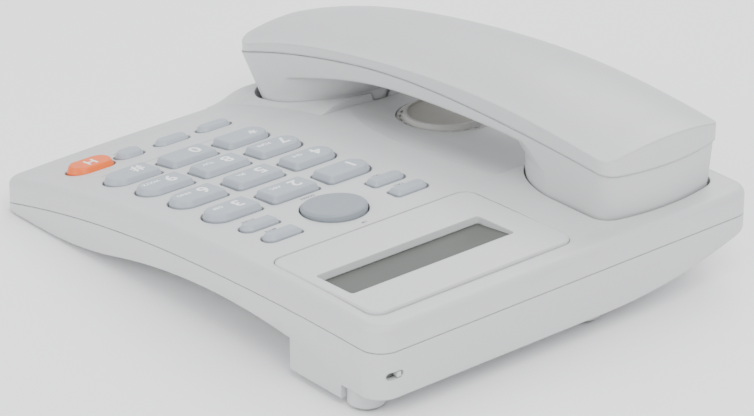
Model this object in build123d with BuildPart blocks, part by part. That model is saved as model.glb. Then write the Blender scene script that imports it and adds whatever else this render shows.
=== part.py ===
from build123d import *
import os
from math import atan2, degrees

# Corded desk telephone, in millimetres. +X is the user's right, +Y the far side (the display),
# +Z up. The origin is the centre of the whole telephone's footprint, on the table.

os.makedirs("parts", exist_ok=True)

# ---------------------------------------------------------------- driving dimensions
base_width = 164.5
base_rear = 106.5
base_front = -98.0
front_bow = 5.0
corner_radius = 8.0
wall = 2.2
band_height = 8.9
rim_radius = 3.0
rim_reach = 3.0
seam_gap = 0.28
far = 130.0

key_gap = 0.4
end_gap = 0.5
key_columns = (12.0, 36.3, 60.6)
key_rows = (4.9, -13.6, -32.1, -50.6)
front_key_row = -74.5

nav_x = 34.2
nav_y = 27.1
nav_radius = 11.2

board_slope = 0.1246
board_middle = -21.0
board_height = 16.2
board_thickness = 1.6
mat_thickness = 1.0
dome_height = 2.8

handset_x = -49.7
handset_half = 26.0
handset_front = -106.5
handset_rear = 99.5
handset_wall = 2.0

foot_radius = 6.2
rear_feet_at = ((75.0, 92.6), (-17.5, 92.6), (-58.0, 62.0))
front_feet_at = ((60.0, -86.0), (-60.0, -86.0))

battery_radius = 5.25
battery_length = 44.5


# ---------------------------------------------------------------- side profile of the base
# the top: where its two arcs meet, and their radii
deck_middle = 3.5
deck_middle_z = 29.4
deck_middle_slope = 0.0813
deck_front_radius = 570.0
deck_rear_radius = 1040.0


def deck_z(y):
    """Height of the arched top face: two arcs that meet smoothly at the middle."""
    radius = deck_front_radius if y < deck_middle else deck_rear_radius
    norm = (1 + deck_middle_slope**2) ** 0.5
    centre_y = deck_middle + radius * deck_middle_slope / norm
    centre_z = deck_middle_z - radius / norm
    return centre_z + (radius**2 - (y - centre_y) ** 2) ** 0.5


def seam_z(y):
    """Height of the seam between the two housings."""
    return deck_z(y) - band_height


# underside of the base: flat in front, then two arcs that make the arch, then a step at the pedestal
front_floor = 1.0
arch_start = -76.0
arch_bend = (-31.0, 6.6)
pedestal_front = 63.3
arch_end = 13.7
rear_floor = 7.4
pedestal_rear = 89.0


def deck_arcs(drop):
    """The two arcs of the deck's side profile, lowered by drop, and their outer ends."""
    front = ThreePointArc(*[(y, deck_z(y) - drop) for y in (-far, -60, deck_middle)])
    rear = ThreePointArc(*[(y, deck_z(y) - drop) for y in (deck_middle, 60, far)])
    return front @ 0, rear @ 1


def deck_slab(low_drop, high_drop):
    """Everything between two copies of the deck's profile, wider than the telephone."""
    with BuildPart() as slab:
        with BuildSketch(Plane.YZ):
            with BuildLine():
                low_front, low_rear = deck_arcs(low_drop)
                high_front, high_rear = deck_arcs(high_drop)
                Line(low_front, high_front)
                Line(low_rear, high_rear)
            make_face()
        extrude(amount=far, both=True)
    return slab.part


def floor_slab(rise):
    """Everything above the base's stepped, arched underside, raised by rise."""
    step = pedestal_front + rise
    with BuildPart() as slab:
        with BuildSketch(Plane.YZ):
            with BuildLine():
                flat = Line((-far, front_floor + rise), (arch_start, front_floor + rise))
                lower = TangentArc(flat @ 1, (arch_bend[0], arch_bend[1] + rise), tangent=(1, 0))
                upper = TangentArc(lower @ 1, (step, arch_end + rise), tangent=lower % 1)
                Polyline(upper @ 1, (step, rear_floor + rise), (far, rear_floor + rise), (far, far))
                Polyline((far, far), (-far, far), flat @ 0)
            make_face()
        extrude(amount=far, both=True)
    return slab.part


def base_block(inset):
    """The base's plan pulled straight up: square rear, gently bowed front, rounded corners."""
    half = base_width / 2 - inset
    front = base_front + inset
    rear = base_rear - inset
    with BuildPart() as block:
        with BuildSketch() as plan:
            with BuildLine():
                Polyline((-half, front), (-half, rear), (half, rear), (half, front))
                ThreePointArc((half, front), (0, front - front_bow), (-half, front))
            make_face()
            fillet(plan.vertices(), radius=corner_radius - inset)
        extrude(amount=60)
    return block.part


def tilted_prism(outline, start, slope, length):
    """Pulls an XZ outline rearwards from start, climbing at slope."""
    section = Plane(origin=start, x_dir=(1, 0, 0), z_dir=(0, -1, -slope))
    with BuildPart() as prism:
        with BuildSketch(section):
            add(outline)
        extrude(amount=-length)
    return prism.part


# ---------------------------------------------------------------- the cradle
bank_front = -104.0
bank_z = 14.6
bank_slope = 0.188
bay_front = -48.5
bay_slope = 0.08
speaker_x = -56.3
speaker_y = -18.6
speaker_z = 23.9
speaker_radius = 19.0
puck_radius = 16.6
bay_length = 92.0
front_floor_drop = 5.2
rear_pocket_floor = 25.4
head_clearance = 0.7


def above_bank(drop):
    """Everything above a plane that lies drop below the bank's top."""
    with BuildSketch() as outline:
        with Locations((0, 40)):
            Rectangle(2 * far, 80)
    return tilted_prism(outline.sketch, (0, -115, bank_z - drop - 11 * bank_slope), bank_slope, 90)


def bank_shoulder():
    """The space beside the bank, over its smooth shoulder towards the keys."""
    with BuildSketch() as outline:
        with BuildLine():
            Spline((-32, 0), (-12, -4.4), tangents=[(1, 0), (1, 0)])
            Polyline((-12, -4.4), (-12, -10), (far, -10), (far, 10), (-32, 10), (-32, 0))
        make_face()
    return tilted_prism(outline.sketch, (0, bank_front - 5, bank_z - 5 * bank_slope), bank_slope, 80)


def bay_prism(lower, front):
    """The scooped bay under the grip, between the two heads."""
    with BuildSketch() as outline:
        with BuildLine():
            ThreePointArc((-100, 5.35), (speaker_x, 0), (-8, 6.45))
            Polyline((-8, 6.45), (-8, 20), (-100, 20), (-100, 5.35))
        make_face()
    start_z = speaker_z + bay_slope * (front - speaker_y) - lower
    return tilted_prism(outline.sketch, (0, front, start_z), bay_slope, bay_front + bay_length - front)


def head_outline(half_width, square_end, round_centre, round_length, crown, corner, stretch=1.0):
    """A D-shaped outline: a crowned end, and an elliptical end towards the grip."""
    side = 1 if square_end > round_centre else -1
    square_end = square_end * stretch
    round_centre = round_centre * stretch
    edge = square_end - side * crown
    left = handset_x - half_width
    right = handset_x + half_width
    with BuildSketch() as outline:
        with BuildLine():
            start = 180 if side > 0 else 0
            EllipticalCenterArc((handset_x, round_centre), half_width, round_length, start, arc_size=180)
            Line((left, round_centre), (left, edge))
            Line((right, round_centre), (right, edge))
            ThreePointArc((right, edge), (handset_x, square_end), (left, edge))
        make_face()
        corners = outline.vertices().sort_by(Axis.Y)
        fillet(corners[-2:] if side > 0 else corners[:2], corner)
    return outline.sketch


def head_block(outline, low, high):
    """A head's outline pulled straight up."""
    with BuildPart() as block:
        with BuildSketch(Plane.XY.offset(low)):
            add(outline)
        extrude(amount=high - low)
    return block.part


def front_head(grow, low, high):
    """The space of the handset's front head, grown all round."""
    outline = head_outline(25.2 + grow, -97.5 - grow, -80.0, 31.0 + grow, 3.0, 11.0 + grow)
    return head_block(outline, low, high)


def rear_head(grow, low, high):
    """The space of the handset's rear head, grown all round."""
    outline = head_outline(25.5 + grow, 97.8 + grow, 72.0, 33.0 + grow, 4.0, 7.0 + grow)
    return head_block(outline, low, high)


def front_pocket(grow, lower):
    """The pocket that takes the front head, its floor level with the bank."""
    return front_head(grow, 0, 70) & above_bank(front_floor_drop + lower)


def rear_pocket(grow, lower):
    """The pocket that takes the rear head."""
    return rear_head(grow, rear_pocket_floor - lower, 70)


# ---------------------------------------------------------------- keys' places and outlines
board_plane = Plane((0, board_middle, board_height), x_dir=(1, 0, 0), z_dir=(0, -board_slope, 1))
board_norm = (1 + board_slope**2) ** 0.5


def along_board(y):
    """Distance up the key board of the deck point at y."""
    return ((y - board_middle) + (deck_z(y) - board_height) * board_slope) / board_norm


def above_board(y):
    """Height of the deck point at y, square to the key board."""
    return ((deck_z(y) - board_height) - (y - board_middle) * board_slope) / board_norm


sharp = 1.6
keys = []
dial_names = (("1", "2", "3"), ("4", "5", "6"), ("7", "8", "9"), ("star", "0", "hash"))
for row_names, row_y in zip(dial_names, key_rows):
    for column, name in enumerate(row_names):
        left = 5.6 if column == 0 else sharp
        right = 5.6 if column == 2 else sharp
        keys.append(("key_" + name, key_columns[column], row_y, 19.5, 11.6, left, right, 2.3))
keys.append(("key_speaker", 60.6, front_key_row, 17.6, 10.4, 5.1, 5.1, 2.4))
keys.append(("key_hold", 43.9, front_key_row, 10.4, 7.6, 3.7, 3.7, 2.0))
keys.append(("key_flash", 25.4, front_key_row, 13.4, 6.2, 3.0, 3.0, 1.7))
keys.append(("key_redial", 6.8, front_key_row, 13.4, 6.2, 3.0, 3.0, 1.7))
keys.append(("key_out", 6.2, 20.4, 13.6, 6.2, 3.0, 1.2, 1.7))
keys.append(("key_callback", 5.8, 31.8, 13.6, 6.2, 3.0, 1.2, 1.7))
keys.append(("key_store", 60.8, 20.4, 13.6, 6.2, 1.2, 3.0, 1.7))
keys.append(("key_mute", 60.4, 31.8, 13.6, 6.2, 1.2, 3.0, 1.7))


def key_outline(x, y, length, depth, left, right, grow):
    """Outline of a key on the board plane, with its own corner radii at each end."""
    middle = along_board(y)
    with BuildSketch() as outline:
        with Locations((x, middle)):
            Rectangle(length + 2 * grow, depth + 2 * grow)
        corners = outline.vertices().sort_by(Axis.X)
        fillet(corners[:2], radius=left + grow)
        fillet(outline.vertices().sort_by(Axis.X)[-2:], radius=right + grow)
    return outline.sketch


# ---------------------------------------------------------------- upper housing
panel_left = -8.0
panel_right = 76.4
panel_front = 45.2
panel_rear = 98.5
panel_z = 31.35
panel_slope = 0.0372
panel_thickness = 2.0
panel_plane = Plane((0, panel_front, panel_z), x_dir=(1, 0, 0), z_dir=(0, -panel_slope, 1))

lens_plane = Plane((38.0, 73.4, 31.17), x_dir=(1, 0, 0), z_dir=(0, -board_slope, 1))
lens_width = 68.0
lens_depth = 17.8
lens_thickness = 1.2
module_width = 71.0
module_depth = 21.5
module_thickness = 2.6


def panel_block(grow, drop, height):
    """The display panel's outline, from drop below its top face, height thick."""
    with BuildPart() as block:
        with BuildSketch(panel_plane.offset(-drop)) as outline:
            with Locations(((panel_left + panel_right) / 2, (panel_rear - panel_front) / 2)):
                Rectangle(panel_right - panel_left + 2 * grow, panel_rear - panel_front + 2 * grow)
            fillet(outline.vertices(), radius=5.0 + grow)
        extrude(amount=height)
    return block.part


screw_places = ((77.6, -62.0), (77.6, 30.0), (-77.6, -66.0), (-77.6, 4.0))
boss_height = 7.4
boss_gap = 0.7
screw_depth = 5.0
screw_radius = 1.4
boss_radius = 2.9
jack_depth = 14.0
jack_face = -base_width / 2 + 0.3
handset_jack_y = -44.0
handset_jack_z = 14.6
handset_jack_size = (10.0, 8.4)
line_jack_y = 30.0
line_jack_z = 20.3
line_jack_size = (12.0, 8.8)
hook_x = handset_x
hook_y = 78.0
hook_size = (8.0, 11.0)
hook_shelf = 12.2
clearance = 0.3


def upright_block(left, right, front, rear, low, high, corner=0.0):
    """A block standing between two heights, its upright edges rounded."""
    with BuildPart() as block:
        with BuildSketch(Plane.XY.offset(low)) as plan:
            with Locations(((left + right) / 2, (front + rear) / 2)):
                Rectangle(right - left, rear - front)
            if corner:
                fillet(plan.vertices(), radius=corner)
        extrude(amount=high - low)
    return block.part


def posts(places, radius, low, high):
    """Upright posts of one radius at several places."""
    with BuildPart() as group:
        with BuildSketch(Plane.XY.offset(low)):
            with Locations(*places):
                Circle(radius)
        extrude(amount=high - low)
    return group.part


def jack_block(y, z, size, depth, grow, outwards=0.0):
    """A jack body lying in the left flank, its mouth outwards."""
    with BuildPart() as block:
        with BuildSketch(Plane.YZ.offset(jack_face - outwards)):
            with Locations((y, z)):
                Rectangle(size[0] + 2 * grow, size[1] + 2 * grow)
        extrude(amount=depth + grow + outwards)
    return block.part


jack_gap = 0.15
jack_openings = [
    jack_block(handset_jack_y, handset_jack_z, handset_jack_size, jack_depth, jack_gap, 2.0),
    jack_block(line_jack_y, line_jack_z, line_jack_size, jack_depth, jack_gap, 2.0),
]

with BuildPart() as upper_cavity:
    add(base_block(wall))
    add(deck_slab(40, wall), mode=Mode.INTERSECT)
    add(front_pocket(head_clearance + wall, wall), mode=Mode.SUBTRACT)
    add(rear_pocket(head_clearance + wall, wall), mode=Mode.SUBTRACT)
    add(bay_prism(wall, bay_front - wall), mode=Mode.SUBTRACT)
    add(panel_block(wall, panel_thickness + wall, 20), mode=Mode.SUBTRACT)


def on_rim(edge):
    """True for the edges where a top face meets the base's outer walls."""
    middle = edge.center()
    high = middle.Z > seam_z(middle.Y) + 5
    at_side = abs(middle.X) > base_width / 2 - rim_reach
    at_end = middle.Y > base_rear - rim_reach or middle.Y < base_front + rim_reach
    return high and (at_side or at_end)


with BuildPart() as bank:
    # the raised bank beside and around the front of the handset
    add(base_block(0))
    add(above_bank(0), mode=Mode.SUBTRACT)
    with Locations((0, bay_front + far + 10, 0)):
        Box(2 * far, 2 * far, 2 * far, mode=Mode.SUBTRACT)
    fillet(bank.edges().filter_by(on_rim), radius=rim_radius)
    add(bank_shoulder(), mode=Mode.SUBTRACT)
    with Locations((0, bay_front + far, 0)):
        Box(2 * far, 2 * far, 2 * far, mode=Mode.SUBTRACT)

with BuildPart() as upper_housing:
    add(base_block(0))
    add(deck_slab(band_height, 0), mode=Mode.INTERSECT)
    fillet(upper_housing.edges().filter_by(on_rim), radius=rim_radius)
    add(bank.part)
    add(deck_slab(band_height, -20), mode=Mode.INTERSECT)
    add(upper_cavity.part, mode=Mode.SUBTRACT)
    # bosses for the screws that hold the two housings together
    for x, y in screw_places:
        add(posts([(x, y)], boss_radius, seam_z(y) + boss_gap, seam_z(y) + boss_height))
        add(posts([(x, y)], screw_radius, seam_z(y), seam_z(y) + screw_depth), mode=Mode.SUBTRACT)
    add(front_pocket(head_clearance, 0), mode=Mode.SUBTRACT)
    add(rear_pocket(head_clearance, 0), mode=Mode.SUBTRACT)
    add(bay_prism(0, bay_front), mode=Mode.SUBTRACT)
    # recess of the display panel and the window for the display under it
    add(panel_block(0.2, panel_thickness, 20), mode=Mode.SUBTRACT)
    with BuildSketch(lens_plane.offset(-8)):
        Rectangle(module_width + 1.0, module_depth + 1.0)
    extrude(amount=12, mode=Mode.SUBTRACT)
    # key holes
    for name, x, y, length, depth, left, right, proud in keys:
        with BuildSketch(board_plane.offset(above_board(y) - 5)):
            add(key_outline(x, y, length + 2 * end_gap, depth, left, right, key_gap))
        extrude(amount=9, mode=Mode.SUBTRACT)
    with BuildSketch(board_plane.offset(above_board(nav_y) - 5)):
        with Locations((nav_x, along_board(nav_y))):
            Circle(nav_radius + 0.6)
    extrude(amount=9, mode=Mode.SUBTRACT)
    # speaker seat, with a ledge that holds the cover
    speaker_plane = Plane((speaker_x, speaker_y, speaker_z), x_dir=(1, 0, 0), z_dir=(0, -bay_slope, 1))
    with BuildSketch(speaker_plane.offset(-1.5)):
        Circle(speaker_radius + 0.3)
    extrude(amount=6, mode=Mode.SUBTRACT)
    with BuildSketch(speaker_plane.offset(-4)):
        Circle(speaker_radius - 0.8)
    extrude(amount=6, mode=Mode.SUBTRACT)
    # hook button opening and jack openings
    with BuildSketch(Plane.XY.offset(rear_pocket_floor - 6)):
        with Locations((hook_x, hook_y)):
            Rectangle(hook_size[0] + 2 * clearance, hook_size[1] + 2 * clearance)
    extrude(amount=12, mode=Mode.SUBTRACT)
    add(jack_openings, mode=Mode.SUBTRACT)
upper_housing.part.label = "upper_housing"
export_step(upper_housing.part, "parts/upper_housing.step")


# ---------------------------------------------------------------- lower housing
block_left = -24.0
block_right = base_width / 2
block_bottom = 2.6
bay_roof = 17.0
cell_wall = 1.6
door_gap = 0.4
cell_bay_left = -20.0
cell_bay_right = 76.6
cell_bay_front = 65.2
cell_bay_rear = 87.0
cell_bay_top = 15.4
door_top = 4.1
hull_radius = 193.0
hull_start = -15.0
hull_slope = 0.1

ringer_x = 74.8
ringer_z = 15.4


def below_hull(rise):
    """The space outside the swept-up left rear corner of the hull, raised by rise."""
    low = rear_floor + rise
    with BuildSketch() as outline:
        with BuildLine():
            reach = far - 35
            lift = hull_radius - (hull_radius**2 - (reach + hull_start) ** 2) ** 0.5
            half = (reach + hull_start) / 2
            half_lift = hull_radius - (hull_radius**2 - half**2) ** 0.5
            ThreePointArc((hull_start, low), (hull_start - half, low + half_lift), (-reach, low + lift))
            Polyline((-reach, low + lift), (-reach, low - 60), (hull_start, low - 60), (hull_start, low))
        make_face()
    return tilted_prism(outline.sketch, (0, -far, -(base_rear + far) * hull_slope), hull_slope, 2 * far)


def floor_z(y):
    """Rough height of the underside of the base."""
    if y > pedestal_front:
        return rear_floor
    climb = (arch_end - front_floor) / (pedestal_front - arch_start) * 1.5
    return min(arch_end, max(front_floor, front_floor + (y - arch_start - 15) * climb))


with BuildPart() as lower_cavity:
    add(base_block(wall))
    add(floor_slab(wall), mode=Mode.INTERSECT)
    add(below_hull(wall), mode=Mode.SUBTRACT)
    # walls that box in the battery bay
    box_left = cell_bay_left - cell_wall
    box_right = cell_bay_right + cell_wall
    box_rear = cell_bay_rear + cell_wall
    add(upright_block(box_left, box_right, pedestal_front, box_rear, 0, bay_roof), mode=Mode.SUBTRACT)

with BuildPart() as lower_housing:
    add(base_block(0))
    add(floor_slab(0), mode=Mode.INTERSECT)
    add(deck_slab(100, band_height + seam_gap), mode=Mode.INTERSECT)
    add(below_hull(0), mode=Mode.SUBTRACT)
    add(upright_block(block_left, block_right, pedestal_front, pedestal_rear, block_bottom, 12))
    add(posts(rear_feet_at[:2], foot_radius, 1.2, 12))
    add(posts(rear_feet_at[2:], foot_radius, 1.2, 16))
    add(lower_cavity.part, mode=Mode.SUBTRACT)
    # shelf under the hook switch
    add(upright_block(hook_x - 6.5, hook_x + 6.5, hook_y - 4.5, hook_y + 4.5, rear_floor, hook_shelf))
    # seats for the foot pads
    add(posts(rear_feet_at, foot_radius - 0.9, 0, 2.0), mode=Mode.SUBTRACT)
    add(posts(front_feet_at, foot_radius - 0.9, 0, 1.8), mode=Mode.SUBTRACT)
    # slot of the ringer switch in the rear wall
    with BuildSketch(Plane.XZ.offset(-base_rear - 1)):
        with Locations((ringer_x, ringer_z)):
            SlotOverall(6.2, 2.6)
    extrude(amount=6, mode=Mode.SUBTRACT)
    # battery bay, open below, and the seat of its door
    bay_plan = (cell_bay_left, cell_bay_right, cell_bay_front, cell_bay_rear)
    seat_plan = (cell_bay_left, cell_bay_right, pedestal_front - 1, cell_bay_front + 1)
    add(upright_block(*bay_plan, 0, cell_bay_top), mode=Mode.SUBTRACT)
    add(upright_block(*seat_plan, 0, door_top + door_gap), mode=Mode.SUBTRACT)
    # screw bosses, clear of the upper housing's
    for x, y in screw_places:
        add(posts([(x, y)], boss_radius, floor_z(y) + 1.0, seam_z(y) - boss_gap))
        add(posts([(x, y)], screw_radius + 0.25, 0, seam_z(y) + 2), mode=Mode.SUBTRACT)
        add(posts([(x, y)], 2.7, 0, floor_z(y) + 2.6), mode=Mode.SUBTRACT)
    add(jack_openings, mode=Mode.SUBTRACT)
lower_housing.part.label = "lower_housing"
export_step(lower_housing.part, "parts/lower_housing.step")


# ---------------------------------------------------------------- display
display_bezel_gap = 0.15
panel_proud = 0.6
with BuildPart() as display_bezel:
    add(panel_block(0, panel_thickness - 0.05, panel_thickness + panel_proud))
    fillet(display_bezel.faces().sort_by(Axis.Z)[-1].edges(), radius=0.8)
    # window, its front wall sloping down to the display
    with BuildSketch(lens_plane.offset(-4)):
        RectangleRounded(lens_width + 2 * display_bezel_gap, lens_depth + 2 * display_bezel_gap, 1.2)
    extrude(amount=8, mode=Mode.SUBTRACT)
    # relief for the display module
    with BuildSketch(lens_plane.offset(-lens_thickness - 6)):
        Rectangle(module_width + 0.4, module_depth + 0.4)
    extrude(amount=6.1, mode=Mode.SUBTRACT)
display_bezel.part.label = "display_bezel"
export_step(display_bezel.part, "parts/display_bezel.step")

with BuildPart() as display_lens:
    with BuildSketch(lens_plane.offset(-lens_thickness)) as lens_outline:
        Rectangle(lens_width, lens_depth)
        fillet(lens_outline.vertices(), radius=1.2)
    extrude(amount=lens_thickness)
display_lens.part.label = "display_lens"
export_step(display_lens.part, "parts/display_lens.step")

with BuildPart() as lcd_module:
    with BuildSketch(lens_plane.offset(-lens_thickness - module_thickness)):
        Rectangle(module_width, module_depth)
    extrude(amount=module_thickness)
lcd_module.part.label = "lcd_module"
export_step(lcd_module.part, "parts/lcd_module.step")


# ---------------------------------------------------------------- key board, mat and keys
board_left = -6.0
board_right = 74.0
board_front = -85.0
board_rear = 41.0
board_post_radius = 2.2
board_posts = [(-3.6, -62.0), (-3.6, -24.0), (-3.6, 36.0), (72.2, -24.0), (72.2, 36.0)]
board_length = along_board(board_rear) - along_board(board_front)
board_centre = (along_board(board_rear) + along_board(board_front)) / 2
under_deck = wall + 0.75
flange = 1.0


def board_plate(low, high, margin=0.0):
    """A plate lying along the key board, between two heights above it."""
    with BuildPart() as plate:
        with BuildSketch(board_plane.offset(low)) as outline:
            with Locations(((board_left + board_right) / 2, board_centre)):
                Rectangle(board_right - board_left - 2 * margin, board_length - 2 * margin)
            fillet(outline.vertices(), radius=2.0)
        extrude(amount=high - low)
    return plate.part


def board_pins(radius, low, high):
    """Round posts square to the key board at its fixing points."""
    with BuildPart() as group:
        with BuildSketch(board_plane.offset(low)):
            with Locations(*board_posts):
                Circle(radius)
        extrude(amount=high - low)
    return group.part


dome_places = [(key[1], along_board(key[2])) for key in keys]
nav_middle = along_board(nav_y)
nav_reach = 7.0
dome_places += [(nav_x, nav_middle - nav_reach), (nav_x, nav_middle + nav_reach)]

with BuildPart() as keypad_board:
    add(board_plate(-board_thickness, 0))
    add(board_pins(1.3, -3, 2), mode=Mode.SUBTRACT)
keypad_board.part.label = "keypad_board"
export_step(keypad_board.part, "parts/keypad_board.step")

with BuildPart() as keypad_mat:
    add(board_plate(0, mat_thickness, 0.5))
    with BuildSketch(board_plane.offset(mat_thickness)):
        with Locations(*dome_places):
            Circle(2.6)
    extrude(amount=dome_height - mat_thickness)
    with BuildSketch(board_plane):
        with Locations(*dome_places):
            Circle(1.8)
    extrude(amount=1.4, mode=Mode.SUBTRACT)
    add(board_pins(board_post_radius + 0.3, -1, 3), mode=Mode.SUBTRACT)
keypad_mat.part.label = "keypad_mat"
export_step(keypad_mat.part, "parts/keypad_mat.step")

for name, x, y, length, depth, left, right, proud in keys:
    top = above_board(y)
    with BuildPart() as key:
        # cap: upright up to the deck, then leaning inwards
        with BuildSketch(board_plane.offset(top - under_deck)):
            add(key_outline(x, y, length, depth, left, right, 0))
        extrude(amount=under_deck + 0.3)
        for low, high, inset_low, inset_high in ((0.3, proud - 0.4, 0, 0.7), (proud - 0.4, proud, 0.7, 1.1)):
            with BuildSketch(board_plane.offset(top + low)):
                add(key_outline(x, y, length, depth, left, right, -inset_low))
            with BuildSketch(board_plane.offset(top + high)):
                add(key_outline(x, y, length, depth, left, right, -inset_high))
            loft(ruled=True)
        # flange that stops the key under the deck
        with BuildSketch(board_plane.offset(top - under_deck - flange)):
            add(key_outline(x, y, length, depth, left, right, 0.8))
        extrude(amount=flange)
        # stem down to the mat
        with BuildSketch(board_plane.offset(dome_height + 0.2)):
            with Locations((x, along_board(y))):
                Rectangle(min(length, 12) - 5, depth - 3.4)
        extrude(amount=top - under_deck - flange - dome_height - 0.2)
    key.part.label = name
    export_step(key.part, "parts/" + name + ".step")

nav_top = above_board(nav_y)
nav_skirt = 3.9
nav_proud = 1.0
nav_foot_gap = 0.7
with BuildPart() as navigation_key:
    with BuildSketch(board_plane.offset(nav_top - nav_skirt)):
        with Locations((nav_x, nav_middle)):
            Circle(nav_radius)
    extrude(amount=nav_skirt + nav_proud)
    # bevelled rim of the cap
    with BuildSketch(board_plane.offset(nav_top + nav_proud)):
        with Locations((nav_x, nav_middle)):
            Circle(nav_radius)
    extrude(amount=0.7, taper=45)
    # flange under the deck
    with BuildSketch(board_plane.offset(nav_top - nav_skirt - flange)):
        with Locations((nav_x, nav_middle)):
            Circle(nav_radius + 1.3)
    extrude(amount=flange)
    # two feet, each just above its rubber dome
    with BuildSketch(board_plane.offset(dome_height + nav_foot_gap)):
        with Locations((nav_x, nav_middle - nav_reach), (nav_x, nav_middle + nav_reach)):
            Circle(1.8)
    extrude(amount=nav_top - nav_skirt - flange - dome_height - nav_foot_gap)
navigation_key.part.label = "navigation_key"
export_step(navigation_key.part, "parts/navigation_key.step")


# ---------------------------------------------------------------- main board and what it carries
main_low = 18.6
main_high = main_low + board_thickness
main_left = -18.0
main_right = 75.0
main_front = 54.0
main_rear = 99.0
main_screws = [(-13.0, 75.0), (70.0, 75.0)]

with BuildPart() as main_board:
    add(upright_block(main_left, main_right, main_front, main_rear, main_low, main_high, 2.0))
    add(posts(main_screws, 1.6, main_low - 1, main_high + 1), mode=Mode.SUBTRACT)
main_board.part.label = "main_board"
export_step(main_board.part, "parts/main_board.step")

# each chip's middle, length, depth and height
chips = (
    (8.0, 70.0, 14.0, 9.0, 2.0),
    (34.0, 72.0, 12.0, 12.0, 1.8),
    (56.0, 90.0, 10.0, 6.0, 1.8),
    (58.0, 66.0, 8.0, 5.0, 1.6),
)
with BuildPart() as control_chips:
    for x, y, length, depth, height in chips:
        sides = (x - length / 2, x + length / 2, y - depth / 2, y + depth / 2)
        add(upright_block(*sides, main_high, main_high + height))
control_chips.part.label = "control_chips"
export_step(control_chips.part, "parts/control_chips.step")

# each capacitor's place, radius and height
cans = ((20.0, 92.0, 3.2, 6.5), (28.0, 92.0, 3.2, 6.5), (40.0, 93.0, 2.5, 5.0), (48.0, 80.0, 2.5, 5.0))
with BuildPart() as capacitors:
    for x, y, radius, height in cans:
        add(posts([(x, y)], radius, main_high, main_high + height))
capacitors.part.label = "capacitors"
export_step(capacitors.part, "parts/capacitors.step")

bobbin_ends = (-12.0, 4.0, 84.0, 96.0)
bobbin_winding = (-10.0, 2.0, 86.0, 94.0)
with BuildPart() as line_transformer:
    add(upright_block(*bobbin_ends, main_high, main_high + 1.2))
    add(upright_block(*bobbin_winding, main_high + 1.2, main_high + 7.0))
    add(upright_block(*bobbin_ends, main_high + 7.0, main_high + 8.0))
line_transformer.part.label = "line_transformer"
export_step(line_transformer.part, "parts/line_transformer.step")

# one ribbon from the display to the main board, one from the key board to the main board
display_ribbon = (50.0, 70.0, [(63.6, 25.8), (60.5, 24.6), (60.5, main_high + 0.1)])
key_ribbon = (10.0, 30.0, [(37.0, 21.5), (42.0, 17.6), (50.0, 17.6), (53.4, 18.6), (53.4, 19.6)])
ribbon_thickness = 0.4
with BuildPart() as ribbon_cables:
    for left, right, points in (display_ribbon, key_ribbon):
        for start, end in zip(points, points[1:]):
            middle = ((start[0] + end[0]) / 2, (start[1] + end[1]) / 2)
            span = ((end[0] - start[0]) ** 2 + (end[1] - start[1]) ** 2) ** 0.5
            turn = degrees(atan2(end[1] - start[1], end[0] - start[0]))
            with BuildSketch(Plane.YZ.offset(left)):
                with Locations(Location((middle[0], middle[1], 0), (0, 0, turn))):
                    Rectangle(span + 0.2, ribbon_thickness)
            extrude(amount=right - left)
ribbon_cables.part.label = "ribbon_cables"
export_step(ribbon_cables.part, "parts/ribbon_cables.step")


# ---------------------------------------------------------------- speaker and base microphone
with BuildPart() as speaker_cover:
    with BuildSketch(speaker_plane.offset(-1.4)):
        Circle(speaker_radius)
    extrude(amount=1.4)
    # raised middle with a rim round it
    with BuildSketch(speaker_plane):
        Circle(puck_radius)
    extrude(amount=1.8, taper=8)
    with BuildSketch(speaker_plane.offset(1.2)):
        Circle(puck_radius - 1.6)
    extrude(amount=2.0, mode=Mode.SUBTRACT)
    # ring of sound slots round the raised middle
    with BuildSketch(speaker_plane.offset(-3)):
        with PolarLocations(puck_radius + 1.0, 26):
            SlotOverall(2.6, 0.9, rotation=90)
    extrude(amount=6, mode=Mode.SUBTRACT)
speaker_cover.part.label = "speaker_cover"
export_step(speaker_cover.part, "parts/speaker_cover.step")

with BuildPart() as speaker_driver:
    with BuildSketch(speaker_plane.offset(-4.2)):
        Circle(15.6)
    extrude(amount=1.8)
    with BuildSketch(speaker_plane.offset(-8.2)):
        Circle(9.0)
    extrude(amount=4.0)
    with BuildSketch(speaker_plane.offset(-3.2)):
        Circle(13.0)
    extrude(amount=1.0, mode=Mode.SUBTRACT)
speaker_driver.part.label = "speaker_driver"
export_step(speaker_driver.part, "parts/speaker_driver.step")

with BuildPart() as base_microphone:
    add(posts([(78.0, -89.0)], 1.9, 5.0, 8.6))
base_microphone.part.label = "base_microphone"
export_step(base_microphone.part, "parts/base_microphone.step")


# ---------------------------------------------------------------- hook switch
hook_top = rear_pocket_floor + 0.3
with BuildPart() as hook_button:
    add(upright_block(hook_x - 4, hook_x + 4, hook_y - 5.5, hook_y + 5.5, 18.5, hook_top, 2.0))
    fillet(hook_button.faces().sort_by(Axis.Z)[-1].edges(), radius=0.6)
    add(upright_block(hook_x - 5.2, hook_x + 5.2, hook_y - 6.7, hook_y + 6.7, 17.9, 18.9, 2.0))
    add(posts([(hook_x, hook_y)], 1.4, 16.4, 18.0))
hook_button.part.label = "hook_button"
export_step(hook_button.part, "parts/hook_button.step")

with BuildPart() as hook_spring:
    with BuildLine():
        coil = Helix(pitch=0.95, height=2.85, radius=2.4, center=(hook_x, hook_y, 14.75))
    with BuildSketch(Plane(origin=coil @ 0, z_dir=coil % 0)):
        Circle(0.2)
    sweep()
hook_spring.part.label = "hook_spring"
export_step(hook_spring.part, "parts/hook_spring.step")

with BuildPart() as hook_switch:
    add(upright_block(hook_x - 6, hook_x + 6, hook_y - 4, hook_y + 4, hook_shelf, 14.5, 0.6))
hook_switch.part.label = "hook_switch"
export_step(hook_switch.part, "parts/hook_switch.step")


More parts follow.
